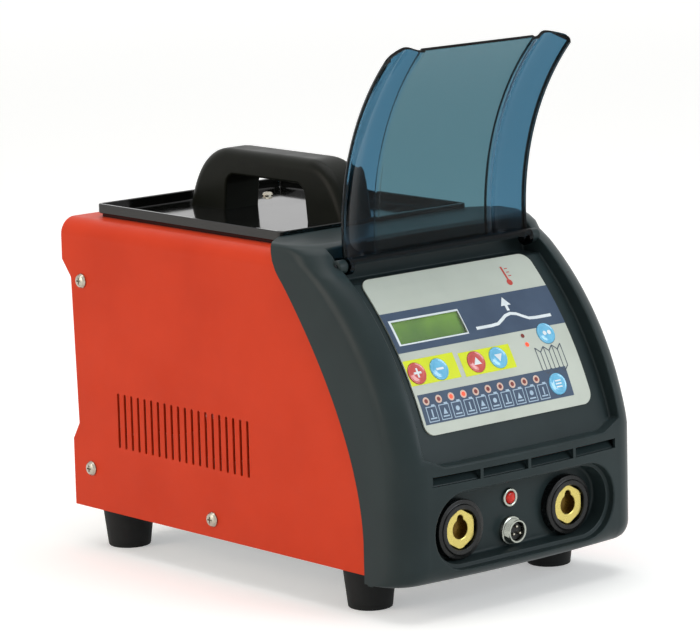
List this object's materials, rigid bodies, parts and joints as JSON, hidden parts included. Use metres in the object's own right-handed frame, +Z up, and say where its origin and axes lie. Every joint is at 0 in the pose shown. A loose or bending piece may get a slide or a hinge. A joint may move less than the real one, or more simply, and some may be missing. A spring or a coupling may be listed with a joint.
{
  "type": "dent pulling spot welder",
  "caption": "Dent pulling machine: steel cover, moulded front with a tilted key panel under a hinged clear visor, weld sockets, gun connector, top tray, carrying handle and rubber feet.",
  "frame": {"origin": "on the surface that the feet stand on, under the middle of the machine's overall box", "axes": "+Z up, -Y is the control panel's side, X across the machine; the machine is symmetric in X apart from its panel, fan, switch and gland"},
  "size_m": [0.2144, 0.3606, 0.3678],
  "materials": {
    "red_paint": "fine orange-peel red paint",
    "grey_mould": "fine grained dark grey moulding",
    "black_plastic": "satin black moulding",
    "tray_black": "glossy black moulding",
    "visor_plastic": "clear smoke blue plastic",
    "panel_film": "printed satin film",
    "window_film": "clear window",
    "display_green": "yellow-green display",
    "key_red": "embossed red key",
    "key_blue": "embossed light blue key",
    "lamp_lens": "clear red lens",
    "circuit_board": "green circuit board",
    "chrome": "bright plated metal",
    "steel": "plain steel",
    "zinc_steel": "zinc plated steel",
    "brass": "bright turned brass",
    "copper": "bare copper",
    "aluminium": "extruded aluminium",
    "foot_rubber": "black rubber"
  },
  "bodies": {
    "case": {"front_bezel": "grey_mould", "cover": "red_paint", "membrane_panel": "panel_film", "display_window": "window_film", "display_board": "circuit_board", "lcd_module": "display_green", "hinge_pin_left": "steel", "hinge_pin_right": "steel", "socket_left_insulator": "black_plastic", "socket_left_brass": "brass", "socket_right_insulator": "black_plastic", "socket_right_brass": "brass", "pilot_lamp_ring": "chrome", "pilot_lamp_lens": "lamp_lens", "connector_shell": "chrome", "connector_insert": "black_plastic", "tray": "tray_black", "handle": "black_plastic", "side_screw_1": "zinc_steel", "side_screw_2": "zinc_steel", "side_screw_3": "zinc_steel", "side_screw_4": "zinc_steel", "side_screw_5": "zinc_steel", "side_screw_6": "zinc_steel", "tray_screw_1": "zinc_steel", "tray_screw_2": "zinc_steel", "handle_screw_front": "zinc_steel", "handle_screw_rear": "zinc_steel", "foot_1": "foot_rubber", "foot_2": "foot_rubber", "foot_3": "foot_rubber", "foot_4": "foot_rubber", "base_pan": "zinc_steel", "rear_panel": "zinc_steel", "fan_frame": "black_plastic", "fan_guard": "steel", "mains_switch_housing": "black_plastic", "cable_gland": "black_plastic", "gland_nut": "black_plastic", "transformer_core": "steel", "primary_coil": "copper", "secondary_winding": "copper", "busbar_left": "copper", "busbar_right": "copper", "heat_sink": "aluminium", "thyristor_module": "black_plastic", "power_board": "circuit_board"},
    "visor_flap": {"visor": "visor_plastic"},
    "plus_key": {"key_plus": "key_red"},
    "minus_key": {"key_minus": "key_blue"},
    "up_key": {"key_up": "key_red"},
    "down_key": {"key_down": "key_blue"},
    "mode_key": {"key_mode": "key_blue"},
    "program_key": {"key_program": "key_blue"},
    "rocker": {"mains_switch_rocker": "black_plastic"},
    "fan": {"fan_rotor": "black_plastic"}
  },
  "joints": [
    {"name": "visor_hinge", "type": "hinge", "parent": "case", "child": "visor_flap", "pos_m": [0, -0.09575, 0.224], "axis": [1, 0, 0], "range_deg": [0, 125]},
    {"name": "plus_key_travel", "type": "slide", "parent": "case", "child": "plus_key", "axis": [0, 0.8655, -0.5009], "range_m": [0, 0.0005], "stiffness_N_per_m": 4000, "springref_m": -0.0002},
    {"name": "minus_key_travel", "type": "slide", "parent": "case", "child": "minus_key", "axis": [0, 0.8655, -0.5009], "range_m": [0, 0.0005], "stiffness_N_per_m": 4000, "springref_m": -0.0002},
    {"name": "up_key_travel", "type": "slide", "parent": "case", "child": "up_key", "axis": [0, 0.8655, -0.5009], "range_m": [0, 0.0005], "stiffness_N_per_m": 4000, "springref_m": -0.0002},
    {"name": "down_key_travel", "type": "slide", "parent": "case", "child": "down_key", "axis": [0, 0.8655, -0.5009], "range_m": [0, 0.0005], "stiffness_N_per_m": 4000, "springref_m": -0.0002},
    {"name": "mode_key_travel", "type": "slide", "parent": "case", "child": "mode_key", "axis": [0, 0.8432, -0.5376], "range_m": [0, 0.0005], "stiffness_N_per_m": 4000, "springref_m": -0.0002},
    {"name": "program_key_travel", "type": "slide", "parent": "case", "child": "program_key", "axis": [0, 0.9132, -0.4075], "range_m": [0, 0.0005], "stiffness_N_per_m": 4000, "springref_m": -0.0002},
    {"name": "mains_rocker", "type": "hinge", "parent": "case", "child": "rocker", "pos_m": [-0.074, 0.15725, 0.18], "axis": [1, 0, 0], "range_deg": [0, 20]},
    {"name": "fan_spin", "type": "hinge", "parent": "case", "child": "fan", "pos_m": [0.018, 0.15, 0.132], "axis": [0, 1, 0], "continuous": true}
  ]
}
